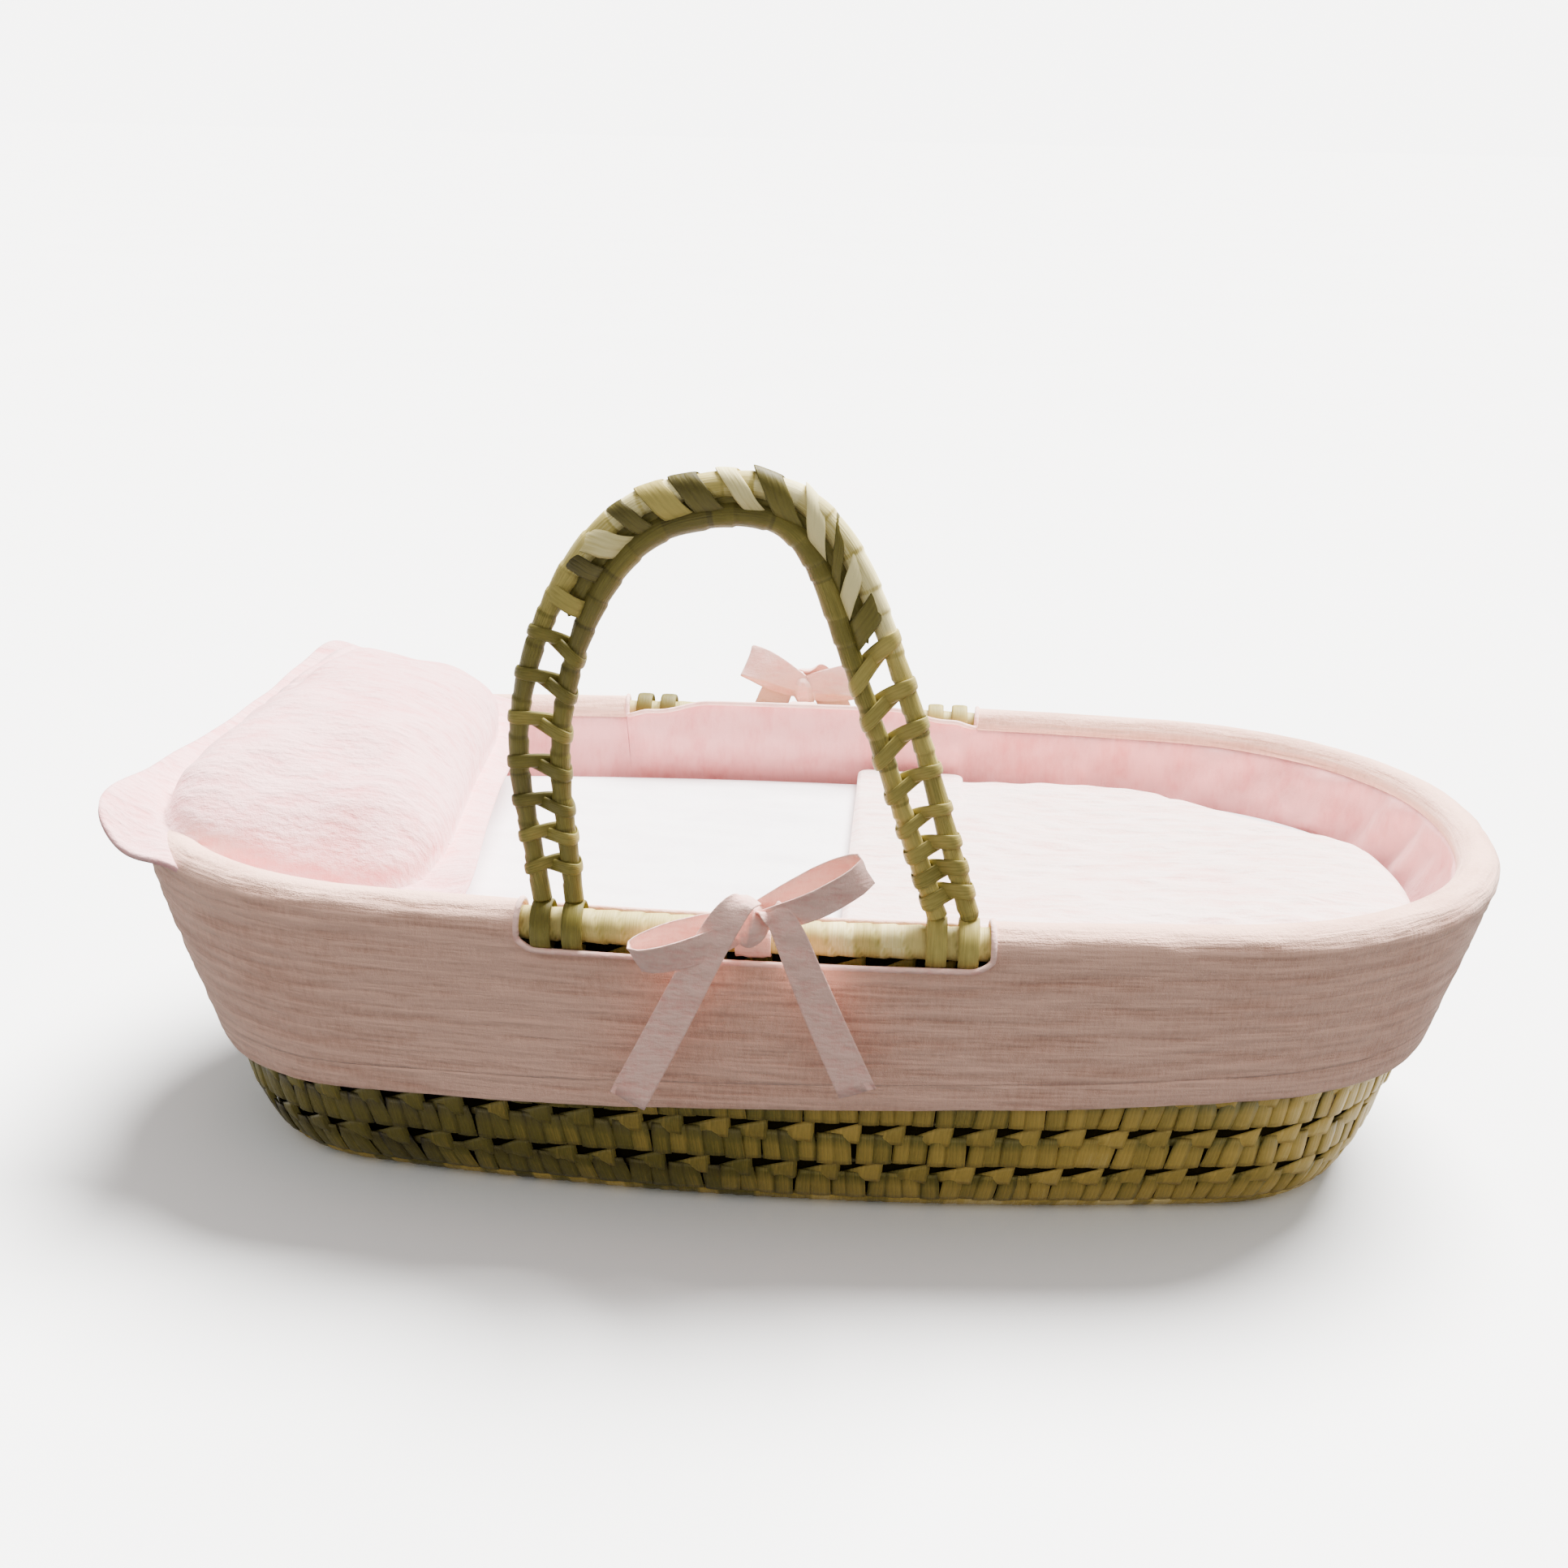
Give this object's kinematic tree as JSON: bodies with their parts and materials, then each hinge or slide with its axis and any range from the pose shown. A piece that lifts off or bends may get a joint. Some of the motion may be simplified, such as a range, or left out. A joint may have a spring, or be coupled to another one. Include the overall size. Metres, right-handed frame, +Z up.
{
  "type": "moses basket",
  "caption": "Oval woven palm-leaf moses basket with fold-down cord handles, a skirted cloth cover tied with bows, mattress, quilt and flanged pillow.",
  "frame": {"origin": "centre of the basket's flat underside, on the surface it stands on", "axes": "+X along the length towards the foot end, -Y to the near side, +Z up"},
  "size_m": [0.83, 0.6897, 0.4345],
  "materials": {
    "palm_plait": "matte plaited leaf",
    "palm_wrap": "satin wrapped leaf",
    "palm_cord": "satin leaf cord",
    "reed": "matte",
    "pink_muslin": "matte crinkled",
    "ribbon": "matte crinkled",
    "white_cotton": "matte",
    "foam": "matte",
    "filling": "matte"
  },
  "bodies": {
    "basket": {"base_middle": "palm_plait", "base_turn_1": "palm_plait", "base_turn_2": "palm_plait", "base_turn_3": "palm_plait", "base_turn_4": "palm_plait", "wall_course_1": "palm_plait", "wall_course_2": "palm_plait", "wall_course_3": "palm_plait", "wall_course_4": "palm_plait", "wall_course_5": "palm_plait", "wall_course_6": "palm_plait", "sewing_cords": "palm_cord", "rim_core": "reed", "rim_wrapping": "palm_wrap", "cover_lining": "pink_muslin", "cover_floor": "pink_muslin", "cover_rim_roll": "pink_muslin", "cover_skirt": "pink_muslin", "cover_hem": "pink_muslin", "near_slot_piping": "pink_muslin", "near_tie_wrap": "ribbon", "near_tie_knot": "ribbon", "near_tie_left_loop": "ribbon", "near_tie_right_loop": "ribbon", "near_tie_left_tail": "ribbon", "near_tie_right_tail": "ribbon", "far_slot_piping": "pink_muslin", "far_tie_wrap": "ribbon", "far_tie_knot": "ribbon", "far_tie_left_loop": "ribbon", "far_tie_right_loop": "ribbon", "far_tie_left_tail": "ribbon", "far_tie_right_tail": "ribbon"},
    "near_handle": {"near_handle_outer_cord": "palm_cord", "near_handle_inner_cord": "palm_cord", "near_handle_links": "palm_cord", "near_handle_ties": "palm_wrap"},
    "far_handle": {"far_handle_outer_cord": "palm_cord", "far_handle_inner_cord": "palm_cord", "far_handle_links": "palm_cord", "far_handle_ties": "palm_wrap"},
    "mattress": {"mattress_firm_layer": "foam", "mattress_soft_layer": "foam", "mattress_sheet": "white_cotton"},
    "quilt": {"quilt": "pink_muslin", "quilt_cuff": "pink_muslin"},
    "pillow": {"pillow_insert": "filling", "pillow_case": "pink_muslin"}
  },
  "joints": [
    {"name": "near_handle_fold", "type": "hinge", "parent": "basket", "child": "near_handle", "pos_m": [-0.02, -0.20914, 0.186], "axis": [1, 0, 0], "range_deg": [-52, 110]},
    {"name": "far_handle_fold", "type": "hinge", "parent": "basket", "child": "far_handle", "pos_m": [-0.02, 0.20914, 0.186], "axis": [-1, 0, 0], "range_deg": [-162, 0]},
    {"name": "mattress_lift", "type": "slide", "parent": "basket", "child": "mattress", "axis": [0, 0, 1], "range_m": [0, 0.2]},
    {"name": "quilt_lift", "type": "slide", "parent": "mattress", "child": "quilt", "axis": [0, 0, 1], "range_m": [0, 0.1]},
    {"name": "pillow_lift", "type": "slide", "parent": "mattress", "child": "pillow", "axis": [0, 0, 1], "range_m": [0, 0.15]}
  ]
}
